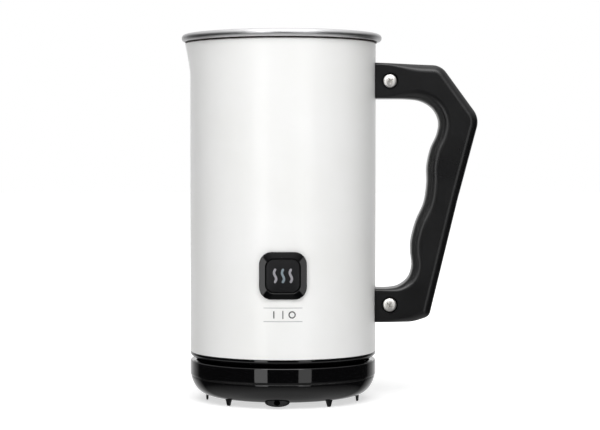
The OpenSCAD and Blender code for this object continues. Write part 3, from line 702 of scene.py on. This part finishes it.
crown = BEZEL_LOW.y
FACE_DROP = 0.66         # how far the face slopes back, from the inner edge to the outer one
FACE_EDGE = 0.35
outer_edge = [(FACE_EDGE * (1 - math.cos(a)), crown + FACE_DROP + FACE_EDGE * (1 - math.sin(a)))
              for a in (math.radians(15 * i) for i in range(6))]
inner_edge = [(FACE_EDGE * (1 - math.sin(a)), crown + FACE_EDGE * (1 - math.cos(a)))
              for a in (math.radians(15 * i) for i in range(7))]
frame_steps = [(BEZEL_W, 6.5, FRONT + 2.0), (BEZEL_W, 6.5, crown + FACE_DROP + 1)]
frame_steps += [(BEZEL_W - 2 * inset, 6.5 - inset, y) for inset, y in outer_edge]
frame_steps += [(OPENING + 2 * outset, 4.5 + outset, y) for outset, y in inner_edge]
frame_steps += [(OPENING, 4.5, BEZEL_HIGH.y - 0.5), (21, 4.8, BEZEL_HIGH.y - 0.5), (21, 4.8, FRONT + 2.0)]
bezel_points, bezel_faces = square_stack(frame_steps + frame_steps[:1])
bezel = solid("button_frame", (bezel_points, bezel_faces), 40)
flatten_faces(bezel)
place(bezel, "jug", "black_gloss_plastic", GLOSS_ABS, "button_bezel")

# %% Button cap
cap_front = CAP_LOW.y
cap_steps = [(CAP_W - 3, 3, cap_front + 5), (CAP_W, 4.3, cap_front + 5)]
cap_steps += [(CAP_W - 2 * 0.5 * (1 - math.cos(a)), 4.3 - 0.5 * (1 - math.cos(a)), cap_front + 0.5 * (1 - math.sin(a)))
              for a in (math.radians(15 * i) for i in range(0, 7))]
DOME = 0.4
flat_w = cap_steps[-1][0]
cap_steps = [(w, r, y + DOME) for w, r, y in cap_steps]
cap_steps += [(flat_w * k, max(0.15, 3.8 * k), cap_front + DOME * k * k) for k in (0.9, 0.75, 0.6, 0.45, 0.3, 0.15)]
cap_skin = square_stack(cap_steps)
count = len(square_ring(1, 0.3, 0))
lid_face = tuple((len(cap_steps) - 1) * count + i for i in range(count))
back_face = tuple(reversed(range(count)))
cap = solid("button_cap_skin", (cap_skin[0], cap_skin[1] + [lid_face, back_face]), 40)
flatten_faces(cap)
place(cap, "button", "button_black", CAP_ABS, "button_cap")


# %% Heat marks
def wave(t, height=6.3, swing=0.55):
    return Vector((swing * math.sin(2 * math.pi * t), height * (t - 0.5)))


def wave_outline(width, steps=28):
    """The outline of one wavy mark with round ends."""
    def side(t):
        d = (wave(t + 0.01) - wave(t - 0.01)).normalized()
        return Vector((d.y, -d.x)) * width / 2
    top, bottom = side(1), side(0)
    top_angle, bottom_angle = (math.degrees(math.atan2(v.y, v.x)) for v in (top, bottom))
    right = [tuple(wave(i / steps) + side(i / steps)) for i in range(1, steps)]
    left = [tuple(wave(i / steps) - side(i / steps)) for i in range(steps - 1, 0, -1)]
    return (right + arc(wave(1), width / 2, top_angle, top_angle + 180, 10)
            + left + arc(wave(0), width / 2, bottom_angle + 180, bottom_angle + 360, 10))


MARK_PITCH = 4.1
MARK_W = 1.25


def mark_shape(i):
    stack = [(MARK_W, 0.9), (MARK_W, 0.03), (MARK_W - 0.08, 0.0)]
    return loft([[(i * MARK_PITCH + px, cap_front + y, BUTTON_Z + pz) for px, pz in wave_outline(w)]
                 for w, y in stack])


marks = solid("heat_marks", joined(mark_shape(-1), mark_shape(1)), 40)
place(marks, "button", "grey_print", MARK, "button_marks")
middle_mark = solid("heat_mark_middle", mark_shape(0), 40)
place(middle_mark, "button", "grey_print", COOL_MARK)

# %% [markdown]
# ## The printed line under the button
# Between two hair-thin rules a jug of this kind says which way it is switched. Here it carries the plain signs for on
# and off, a line and a circle, with a divider. Screen print is a film of ink, so each mark is a thin strip that
# follows the shell's curve, two hundredths of a millimetre proud.


# %% Printed marks
def wrapped(u, z, lift):
    """A point of the print, u millimetres along the shell's curve from the front."""
    a = -math.pi / 2 + u / SHELL_R
    return ((SHELL_R + lift) * math.cos(a), (SHELL_R + lift) * math.sin(a), z)


def printed_strip(left, right, low, high, pieces):
    """A printed rectangle, cut into pieces so that it follows the curve."""
    rings = []
    for i in range(pieces + 1):
        u = left + (right - left) * i / pieces
        rings.append([wrapped(u, low, -0.05), wrapped(u, low, 0.02), wrapped(u, high, 0.02), wrapped(u, high, -0.05)])
    return loft(rings)


def printed_circle(u, z, radius, stroke):
    """A printed ring."""
    rings = []
    for i in range(49):
        a = 2 * math.pi * i / 48
        rings.append([wrapped(u + r * math.cos(a), z + r * math.sin(a), lift)
                      for r, lift in ((radius, -0.05), (radius, 0.02), (radius - stroke, 0.02), (radius - stroke, -0.05))])
    return loft(rings, False)


RULE_HALF = 10.2
RULES = (46.7, 53.8)
SIGN_Z = sum(RULES) / 2
rules = solid("printed_rules", joined(*[printed_strip(-RULE_HALF, RULE_HALF, z - 0.13, z + 0.13, 24) for z in RULES]))
place(rules, "jug", "grey_print", PRINT)
signs = solid("on_off_signs", joined(
    printed_strip(-5.05, -4.45, SIGN_Z - 1.85, SIGN_Z + 1.85, 1), printed_circle(4.75, SIGN_Z, 1.9, 0.6),
    printed_strip(-0.3, 0.2, SIGN_Z - 2.1, SIGN_Z + 2.1, 1)))
place(signs, "jug", "grey_print", DARK_PRINT)

# %% [markdown]
# ## The jug's foot
# A black moulding closes the shell from below. Only its edge shows as a thin ring until the jug is lifted. Its
# CAD solid already has the stepped nose and the screws' pockets, so the ring is turned and the pockets are cut.

# %% Foot
FOOT_LOW, FOOT_HIGH = span("jug_foot")
BASE_TOP = span("base_top_cover")[1].z
foot_floor = FOOT_LOW.z
foot_outline = rounded([
    (SHELL_R, SHELL_BOTTOM - 0.05, 0.15), (SHELL_R, SHELL_BOTTOM - 1.2, 0.3), (SHELL_R - 0.9, SHELL_BOTTOM - 2.3, 0.3),
    (SHELL_R - 2.6, SHELL_BOTTOM - 2.4, 0.3), (46, BASE_TOP - 0.6, 0.4), (46, foot_floor + 1, 0.3),
    (45, foot_floor, 0.3), (36, foot_floor, 0.3), (35.6, foot_floor + 0.5, 0.2), (34.4, foot_floor + 0.5, 0.2),
    (34, foot_floor, 0.3), (16.2, foot_floor, 0.2), (16.2, foot_floor + 2), (44, foot_floor + 2), (44, BASE_TOP),
    (47.2, SHELL_BOTTOM), (47.2, 33), (SHELL_R - 0.9, 33), (SHELL_R - 0.9, SHELL_BOTTOM - 0.05)], 5, True)
foot = solid("jug_foot_skin", revolve(foot_outline, True))
for i in range(3):
    a = math.radians(90 + 120 * i)
    at = (41.4 * math.cos(a), 41.4 * math.sin(a))
    ring = [(at[0] + 3.1 * math.cos(b), at[1] + 3.1 * math.sin(b)) for b in (math.tau * k / 48 for k in range(48))]
    cut(foot, loft([[(x, y, foot_floor - 2) for x, y in ring], [(x, y, SHELL_BOTTOM) for x, y in ring]]))
place(foot, "jug", "black_plastic", GLOSS_ABS, "jug_foot")

# %% [markdown]
# ## The power base
# Two glossy mouldings meet in a fine seam. The upper one is a straight ring with a dish that the jug stands in; below
# the seam the side rounds off into a flat underside, like a bowl. The rounding is a superellipse, a little squarer
# than an ellipse. Each edge at the seam has its own small radius, and those two radii catch the light as lines.

# %% Base cover
SEAM = span("base_bottom")[1].z
UNDER = span("base_pad")[1].z - 2.6
BOWL_A, BOWL_B, BOWL_POWER = 12, 15, 2 / 2.2


def bowl(turn):
    """A point on the bowl's side, from the upright (0) to the underside (90)."""
    a = math.radians(turn)
    return (SHELL_R - BOWL_A + BOWL_A * math.cos(a) ** BOWL_POWER, UNDER + BOWL_B - BOWL_B * math.sin(a) ** BOWL_POWER)


def bowl_turn(height):
    """The turn at which the bowl's side has this height."""
    return math.degrees(math.asin(((UNDER + BOWL_B - height) / BOWL_B) ** (1 / BOWL_POWER)))


BASE_TURN = math.radians(-4)
DISH = 16
seam_r = bowl(bowl_turn(SEAM))[0]
cover_outline = rounded([
    (8.9, DISH, 0.3), (47.2, DISH, 0.8), (47.2, BASE_TOP - 0.4, 0.3), (47.8, BASE_TOP, 0.3), (SHELL_R, BASE_TOP, 0.7),
    (SHELL_R, 14.7, 0.6), (seam_r + 0.1, SEAM + 0.2, 0.3), (seam_r - 0.9, SEAM + 0.2), (46.6, DISH - 1.8),
    (8.9, DISH - 1.8)], 6, True)
cover = solid("base_cover_skin", revolve(cover_outline, True, 256))
place(cover, "base", "black_gloss_plastic", GLOSS_ABS, "base_top_cover")

# %% Base pan
top_turn = bowl_turn(SEAM - 0.35)
side = [bowl(top_turn + (90 - top_turn) * i / 24) for i in range(25)]
pan_outline = (rounded([(seam_r - 1.4, SEAM), (side[0][0] - 0.05, SEAM, 0.35), side[0]], 5)[:-1] + side
               + [(34, UNDER), (33.6, UNDER + 0.4), (32.4, UNDER + 0.4), (32, UNDER), (9.4, UNDER), (9.4, UNDER + 2), (36, UNDER + 2),
                  (seam_r - 3, SEAM - 3)])
pan = solid("base_pan_skin", revolve(pan_outline, True, 256))
for i in range(3):
    a = BASE_TURN - math.pi / 2 + math.radians(60 + 120 * i)
    at = (30 * math.cos(a), 30 * math.sin(a))
    ring = [(at[0] + 3.3 * math.cos(b), at[1] + 3.3 * math.sin(b)) for b in (math.tau * k / 48 for k in range(48))]
    cut(pan, loft([[(x, y, 0) for x, y in ring], [(x, y, UNDER + 5) for x, y in ring]]))
place(pan, "base", "black_gloss_plastic", GLOSS_ABS, "base_bottom")

# %% [markdown]
# ## Feet
# Eight thin tapered feet stand on a circle under the base, wide along the circle and rounded at the tip. They are
# moulded with the pan. Each is a loft of oblongs that narrow towards the worktop and flare where they meet the pan.

# %% Feet
FEET_R = 41.5
PLACES = 9


def oblong(long, thick, steps=6):
    """An oblong with round ends."""
    h = long / 2 - thick / 2
    return arc((h, 0), thick / 2, -90, 90, steps) + arc((-h, 0), thick / 2, 90, 270, steps)


def foot_tab(angle):
    along = Vector((-math.sin(angle), math.cos(angle), 0))
    out = Vector((math.cos(angle), math.sin(angle), 0))
    rings = []
    for height, long, thick in ((0, 1.3, 0.6), (0.1, 1.9, 0.9), (0.4, 2.4, 1.1), (1.0, 2.8, 1.2), (2.2, 3.5, 1.3),
                                (3.2, 4.3, 1.4), (4.0, 5.2, 1.6), (4.8, 6.2, 2.0)):
        middle = out * FEET_R + Vector((0, 0, height))
        rings.append([tuple(middle + along * u + out * v) for u, v in oblong(long, thick)])
    return loft(rings)


angles = [BASE_TURN - math.pi / 2 + math.tau * i / PLACES for i in range(1, PLACES)]
feet = solid("base_feet_skin", joined(*[foot_tab(a) for a in angles]), 50)
place(feet, "base", "black_plastic", PLAIN_ABS)

pad_outline = rounded([(0, 0.4), (4.5, 0.4), (5, 0), (9, 0, 0.5), (9, UNDER), (3.1, UNDER), (3.1, UNDER + 2), (0, UNDER + 2)])
pad = solid("centre_pad_skin", revolve(pad_outline, steps=96))
place(pad, "base", "black_rubber", RUBBER, "base_pad")

# %% [markdown]
# ## The cord gland
# The lead leaves the base under its front edge through an oval rubber gland. Seen from outside it is a flat oval
# with a rounded lip, a sunk ring and a small round hole. It is lofted from ovals along the base's radius.

# %% Cord gland
GLAND_Z = 3.5
GLAND_HALF = 6.5
GLAND_OUT = 44.8


def oval(half, up, down, along):
    """An oval across the base's front, flatter above than below."""
    ring = []
    for i in range(64):
        a = math.tau * i / 64
        u, v = half * math.cos(a), (up if math.sin(a) > 0 else down) * math.sin(a)
        ring.append((u, along, v))
    return ring


def at_gland(points):
    """Turns points from the gland's own place to the base's front."""
    c, s = math.cos(BASE_TURN), math.sin(BASE_TURN)
    return [(x * c + y * s, x * s - y * c, GLAND_Z + z) for x, y, z in points]


gland_steps = [(GLAND_HALF, 2.15, 2.35, 34), (GLAND_HALF, 2.15, 2.35, GLAND_OUT - 2.2),
               (GLAND_HALF - 0.15, 2.12, 2.3, GLAND_OUT - 1.4), (GLAND_HALF - 0.6, 2.05, 2.2, GLAND_OUT - 0.8),
               (GLAND_HALF - 1.4, 1.98, 2.08, GLAND_OUT - 0.4), (GLAND_HALF - 2.6, 1.9, 1.96, GLAND_OUT - 0.15),
               (GLAND_HALF - 3.8, 1.82, 1.84, GLAND_OUT - 0.05)]
gland_points, gland_faces = loft([oval(*step) for step in gland_steps])
gland = solid("cord_gland_skin", (at_gland(gland_points), gland_faces), 40)


def gland_ring(radius, along):
    return [(radius * math.cos(math.tau * i / 48), along, radius * math.sin(math.tau * i / 48)) for i in range(48)]


hole = loft([gland_ring(1.6, GLAND_OUT - 6), gland_ring(1.6, GLAND_OUT + 1)])
cut(gland, (at_gland(hole[0]), hole[1]), 40)
lip_steps = [(1.6, -0.5), (1.6, -0.15), (1.7, 0.0), (1.9, 0.0), (2.05, -0.2), (2.1, -0.6)]
nose = loft([gland_ring(r, GLAND_OUT + y) for r, y in lip_steps + lip_steps[:1]], False)
gland_lip = solid("cord_gland_lip", (at_gland(nose[0]), nose[1]), 40)
place(gland, "base", "black_rubber", RUBBER, "cord_gland")
place(gland_lip, "base", "black_rubber", RUBBER)

# %% [markdown]
# ## The lid
# A clear lid sits inside the rim, low enough not to show above it, with a milky seal round its wall and a black knob.
# It is turned from one outline with radii at every corner, because a clear moulding shows its edges as bright lines.

# %% Lid, knob and seal
LID_LOW, LID_HIGH = span("lid")
LID_R = LID_HIGH.x
flange = LID_HIGH.z - 1.7
lid_outline = rounded([
    (3, LID_LOW.z), (43.2, LID_LOW.z, 1.2), (43.2, flange, 0.3), (LID_R, flange, 0.4), (LID_R, LID_HIGH.z, 0.7),
    (41.5, LID_HIGH.z, 0.6), (41.4, LID_LOW.z + 2, 1.5), (3, LID_LOW.z + 2)], 6, True)
lid_piece = solid("clear_lid", revolve(lid_outline, True))
place(lid_piece, "lid", "clear_lid", CLEAR, "lid")

KNOB_LOW, KNOB_HIGH = span("lid_knob")
floor = LID_LOW.z
knob_outline = rounded([
    (0, KNOB_LOW.z), (5.5, KNOB_LOW.z, 0.4), (5.5, floor, 0.2), (2.9, floor), (2.9, floor + 2), (6, floor + 2, 0.3),
    (5.2, floor + 4.6, 1.4), (8.2, floor + 6.6, 0.7), (8.2, KNOB_HIGH.z, 0.8), (6.2, KNOB_HIGH.z, 0.3),
    (5.4, KNOB_HIGH.z - 0.5, 0.6), (0, KNOB_HIGH.z - 0.5)])
knob = solid("lid_knob_skin", revolve(knob_outline, steps=96))
place(knob, "lid", "black_gloss_plastic", GLOSS_ABS, "lid_knob")

SEAL_LOW, SEAL_HIGH = span("lid_seal")
seal_r = SEAL_HIGH.x
seal_outline = [(43.25, SEAL_LOW.z)]
for fin in range(2):
    z = SEAL_LOW.z + 1.2 * fin
    seal_outline += [(seal_r - 0.5, z), (seal_r - 0.15, z + 0.35), (seal_r, z + 0.6), (seal_r - 0.15, z + 0.85)]
seal_outline += [(seal_r - 0.5, SEAL_HIGH.z), (43.25, SEAL_HIGH.z)]
seal = solid("lid_seal_skin", revolve(seal_outline, True), 60)
place(seal, "lid", "clear_silicone", MILKY, "lid_seal")

# %% [markdown]
# ## The whisk
# The whisk is a black hub on the pin, four arms and a ring, and a spring bent into a circle, which does the
# frothing. The spring's wire is a helix wound round a circle, swept with a round section.

# %% Whisk
WHISK_LOW, WHISK_HIGH = span("whisk_frame")
COIL_LOW, COIL_HIGH = span("whisk_coil")
WIRE_R = 0.45
COIL_R = (COIL_HIGH.z - COIL_LOW.z) / 2 - WIRE_R
COIL_Z = (COIL_LOW.z + COIL_HIGH.z) / 2
COIL_CIRCLE = COIL_HIGH.x - COIL_R - WIRE_R
TURNS = 38


def coil_point(a):
    r = COIL_CIRCLE + COIL_R * math.cos(a * TURNS)
    return Vector((r * math.cos(a), r * math.sin(a), COIL_Z + COIL_R * math.sin(a * TURNS)))


def coil_ring(a):
    """The wire's round section at an angle about the whisk's axis."""
    p = coil_point(a)
    ahead = (coil_point(a + 1e-3) - coil_point(a - 1e-3)).normalized()
    out = (p - Vector((COIL_CIRCLE * math.cos(a), COIL_CIRCLE * math.sin(a), COIL_Z))).normalized()
    side = ahead.cross(out)
    return [tuple(p + (out * math.cos(w) + side * math.sin(w)) * WIRE_R) for w in (math.tau * j / 8 for j in range(8))]


steps = TURNS * 16
coil_rings = [coil_ring(math.tau * i / steps) for i in range(steps)]
coil = solid("whisk_spring", loft(coil_rings + coil_rings[:1], False), 60)
place(coil, "whisk", "polished_steel", SCREW_STEEL, "whisk_coil")

hub_z = WHISK_LOW.z
hub_outline = rounded([(1.56, hub_z), (9, hub_z, 0.6), (9, hub_z + 5, 0.8), (6.5, WHISK_HIGH.z, 1.2),
                       (1.56, WHISK_HIGH.z, 0.3)], 5, True)
arms = []
for i in range(4):
    a = math.radians(90 * i)
    along, across = Vector((math.cos(a), math.sin(a), 0)), Vector((-math.sin(a), math.cos(a), 0))
    rings = []
    for r, half in ((8.4, 1.5), (10, 1.05), (13, 0.9), (14.6, 1.3)):
        section = rounded([(half, 0.9, 0.35), (-half, 0.9, 0.35), (-half, -0.9, 0.35), (half, -0.9, 0.35)], 4, True)
        rings.append([tuple(along * r + across * u + Vector((0, 0, hub_z + 2.4 + v))) for u, v in section])
    arms.append(loft(rings))
ring_section = rounded([(14.1, hub_z + 1.4, 0.3), (15.3, hub_z + 1.4, 0.3), (15.3, hub_z + 3.4, 0.3),
                        (14.1, hub_z + 3.4, 0.3)], 4, True)
whisk = solid("whisk_hub", joined(revolve(hub_outline, True, 96), revolve(ring_section, True, 96), *arms), 40)
place(whisk, "whisk", "black_plastic", PLAIN_ABS, "whisk_frame")

# %% [markdown]
# ## Finishes for the CAD pieces that stay
# The plug and socket, the screws underneath and everything inside the jug keep their CAD shapes, which are exact.
# Each gets the finish of what it is made of.

# %% Dress the remaining CAD nodes
DRESSED = {
    "plug_body": PLAIN_ABS, "socket_body": PLAIN_ABS, "thermostats": PLAIN_ABS, "switch_body": PLAIN_ABS,
    "plug_contacts": BRASS, "socket_contacts": BRASS, "base_screws": ZINC, "foot_screws": ZINC,
    "board_screws": ZINC, "bracket_nuts": ZINC, "handle_nuts": ZINC, "foot_tabs": SHEET_STEEL,
    "pot_studs": SHEET_STEEL, "spacers": SHEET_STEEL, "motor_bracket": SHEET_STEEL, "motor_body": SHEET_STEEL,
    "upper_lug": SHEET_STEEL, "lower_lug": SHEET_STEEL, "heater_plate": CAST, "heater_element": CAST,
    "motor_shaft": RIM_STEEL, "magnet_carrier": NYLON, "board_parts": NYLON, "switch_plunger": NYLON,
    "drive_magnets": NICKEL, "whisk_magnets": NICKEL, "main_board": BOARD, "button_board": BOARD,
    "indicator_lamps": LAMP}
for name, finish in DRESSED.items():
    for part_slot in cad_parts[name].material_slots:
        part_slot.material = finish
print("dressed", len(DRESSED), "CAD nodes")

# %% [markdown]
# ## The studio
# A white worktop and a white background behind, and a dark room in front with two upright softboxes beside the
# camera. Their reflections are the two grey bars on the glossy base and the lines along the handle's edges. A large
# soft light high in front whitens the shell, and a pale ceiling gives the steel rim something to mirror. The worktop is left out of mirror reflections, and the world's lower
# half stands for it there.

# %% Floor
floor_mesh = bpy.data.meshes.new("worktop")
reach = 6.0
floor_mesh.from_pydata([(-reach, -reach, 0), (reach, -reach, 0), (reach, reach, 0), (-reach, reach, 0)], [], [(0, 1, 2, 3)])
worktop = bpy.data.objects.new("worktop", floor_mesh)
bpy.context.scene.collection.objects.link(worktop)
paper, paper_tree, paper_shader = new_finish("white_paper_with_painted_glow", {
    "Base Color": linear("#f4f4f4"), "Roughness": 0.9, "Emission Color": linear("#ffffff"),
    "Specular IOR Level": 0.0})
# Painted glow: the worktop shines by its own emission, not by a lamp. To the camera it glows at 0.62 near the jug,
# rising to 1.0 half a metre away, so it reads as plain white and its shadow stays pale. To other rays it glows at
# 0.34, which lights the jug from below.
spot = add(paper_tree, "ShaderNodeTexCoord")
away = add(paper_tree, "ShaderNodeVectorMath", {0: spot.outputs["Object"]}, operation="LENGTH")
painted_glow_by_distance = add(paper_tree, "ShaderNodeMapRange", {"Value": away.outputs["Value"], "From Min": 0.08, "From Max": 0.5,
                                              "To Min": 0.62, "To Max": 1.0})
ray = add(paper_tree, "ShaderNodeLightPath")
painted_glow = add(paper_tree, "ShaderNodeMix", {0: ray.outputs["Is Camera Ray"], 2: 0.34, 3: painted_glow_by_distance.outputs["Result"]})
paper_tree.links.new(painted_glow.outputs[0], paper_shader.inputs["Emission Strength"])
floor_mesh.materials.append(paper)
worktop.visible_glossy = False


# %% Lights
def soft_light(name, azimuth, elevation, distance, wide, high, radiance, aim=0.1):
    """A rectangular lamp that faces the jug; radiance is how bright its surface is."""
    data = bpy.data.lights.new(name, "AREA")
    data.shape, data.size, data.size_y = "RECTANGLE", wide, high
    data.energy = radiance * math.pi * wide * high
    lamp = bpy.data.objects.new(name, data)
    a, e = math.radians(azimuth), math.radians(elevation)
    away = Vector((math.sin(a) * math.cos(e), -math.cos(a) * math.cos(e), math.sin(e)))
    lamp.location = away * distance + Vector((0, 0, aim))
    lamp.rotation_euler = away.to_track_quat("Z", "Y").to_euler()
    lamp.visible_camera = False
    bpy.context.scene.collection.objects.link(lamp)
    print(f"{name}: {data.energy:.1f} W")
    return lamp


soft_light("left_softbox", -26.5, 0, 1.3, 0.36, 1.7, 2.0, 0.3)
soft_light("right_softbox", 26.5, 0, 1.3, 0.36, 1.7, 1.3, 0.3)
soft_light("high_front", 0, 44, 1.6, 1.3, 0.8, 4.15)
soft_light("overhead", 0, 88, 1.5, 1.6, 1.6, 0.8)

world = bpy.data.worlds.new("studio")
bpy.context.scene.world = world
world.use_nodes = True
sky = world.node_tree
sky.nodes.clear()
look = add(sky, "ShaderNodeTexCoord")
parts = add(sky, "ShaderNodeSeparateXYZ", {"Vector": look.outputs["Generated"]})
behind = add(sky, "ShaderNodeMapRange", {"Value": parts.outputs["Y"], "From Min": 0.6, "From Max": 1.0,
                                         "To Min": 0.0, "To Max": 1.0})
below = add(sky, "ShaderNodeMapRange", {"Value": parts.outputs["Z"], "From Min": -0.45, "From Max": -0.85,
                                        "To Min": 0.0, "To Max": 0.6})
above = add(sky, "ShaderNodeMapRange", {"Value": parts.outputs["Z"], "From Min": 0.15, "From Max": 0.55,
                                        "To Min": 0.0, "To Max": 0.75})
rays = add(sky, "ShaderNodeLightPath")
ceiling = add(sky, "ShaderNodeMath", {0: above.outputs["Result"], 1: rays.outputs["Is Glossy Ray"]},
              operation="MULTIPLY")
level = add(sky, "ShaderNodeMath", {0: below.outputs["Result"], 1: ceiling.outputs["Value"]}, operation="MAXIMUM")
most = add(sky, "ShaderNodeMath", {0: behind.outputs["Result"], 1: level.outputs["Value"]}, operation="MAXIMUM")
room = add(sky, "ShaderNodeMath", {0: most.outputs["Value"], 1: 0.02}, operation="ADD")
seen = add(sky, "ShaderNodeMix", {0: rays.outputs["Is Camera Ray"], 2: room.outputs["Value"], 3: 1.0})
glow = add(sky, "ShaderNodeBackground", {"Color": (1, 1, 1, 1), "Strength": seen.outputs[0]})
add(sky, "ShaderNodeOutputWorld", {"Surface": glow.outputs["Background"]})
bpy.context.scene.view_settings.view_transform = "Standard"
print("studio ready")
